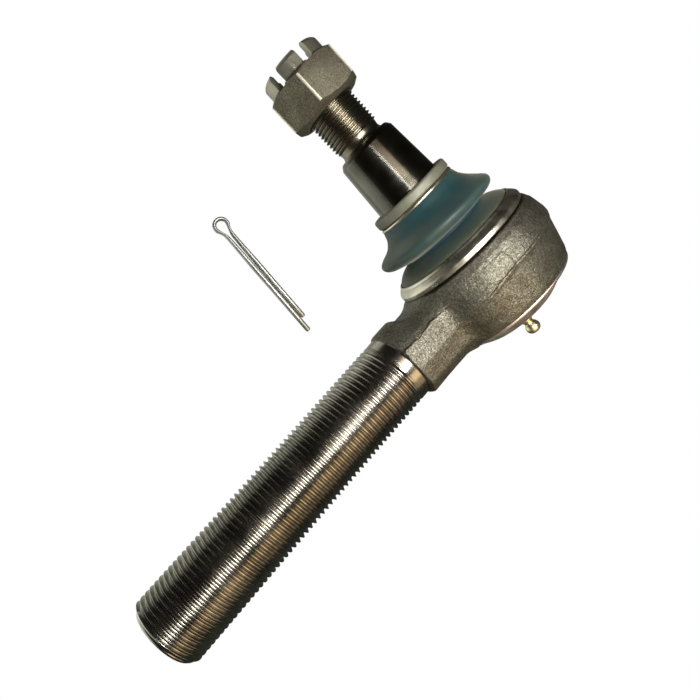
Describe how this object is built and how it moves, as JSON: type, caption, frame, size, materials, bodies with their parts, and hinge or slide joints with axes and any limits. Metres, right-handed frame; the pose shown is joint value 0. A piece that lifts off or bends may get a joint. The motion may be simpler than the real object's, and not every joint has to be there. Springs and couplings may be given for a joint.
{
  "type": "heavy-duty tie rod end",
  "caption": "Forged tie rod end: male threaded shank, greasable ball joint with tapered stud, slotted nut, dust boot and a loose cotter pin.",
  "frame": {"origin": "ball centre: where the stud axis crosses the shank axis", "axes": "+Z along the stud from the ball towards the nut; the shank runs along -X from the ball"},
  "size_m": [0.2067, 0.0664, 0.1392],
  "materials": {
    "forged_steel": "shot-blasted forging, warm grey-brown; the shank's thread is machined and oiled",
    "acetal": "natural moulded acetal with grease",
    "spring_steel": "oiled spring steel",
    "pressed_steel": "pressed steel with a bright rim",
    "seal_rubber": "black nitrile",
    "nipple_brass": "yellow passivated, glossy",
    "bearing_steel": "polished",
    "stud_steel": "ground and oiled, dark",
    "boot_polyurethane": "translucent blue-grey polyurethane, satin",
    "ring_steel": "bright plated steel",
    "neck_ring_plastic": "beige moulded ring, satin",
    "nut_steel": "matte phosphated with bright worn corners",
    "pin_zinc": "bright zinc plated wire"
  },
  "bodies": {
    "housing": {"housing": "forged_steel", "pressure_plate": "spring_steel", "preload_spring": "spring_steel", "end_cover": "pressed_steel", "cover_seal": "seal_rubber", "grease_nipple": "nipple_brass", "nipple_spring": "spring_steel", "nipple_spring_seat": "spring_steel", "boot_retainer_ring": "ring_steel"},
    "bearing_seats": {"upper_bearing_seat": "acetal", "lower_bearing_seat": "acetal", "dust_boot": "boot_polyurethane", "boot_bead_ring": "ring_steel"},
    "boot_neck": {"boot_neck_ring": "neck_ring_plastic", "boot_neck_clamp": "ring_steel"},
    "stud": {"ball_stud": "stud_steel"},
    "nut": {"slotted_nut": "nut_steel"},
    "check_ball": {"nipple_check_ball": "bearing_steel"},
    "cotter_pin": {"cotter_pin": "pin_zinc"}
  },
  "joints": [
    {"name": "seat_swivel", "type": "hinge", "parent": "housing", "child": "bearing_seats", "pos_m": [0, 0, 0], "axis": [0, 0, 1], "continuous": true},
    {"name": "stud_tilt", "type": "hinge", "parent": "bearing_seats", "child": "boot_neck", "pos_m": [0, 0, 0], "axis": [0, 1, 0], "range_deg": [-20, 20], "deforming": ["dust_boot"]},
    {"name": "stud_spin", "type": "hinge", "parent": "boot_neck", "child": "stud", "pos_m": [0, 0, 0], "axis": [0, 0, 1], "continuous": true},
    {"name": "nut_travel", "type": "slide", "parent": "stud", "child": "nut", "axis": [0, 0, 1], "range_m": [-0.0135, 0.016]},
    {"name": "check_ball_lift", "type": "slide", "parent": "housing", "child": "check_ball", "axis": [0, 0, 1], "range_m": [0, 0.0012], "stiffness_N_per_m": 60, "springref_m": -0.002, "deforming": ["nipple_spring"]},
    {"name": "pin_draw", "type": "slide", "parent": "housing", "child": "cotter_pin", "axis": [0.0872, 0, 0.9962], "range_m": [-0.01, 0.01]}
  ]
}
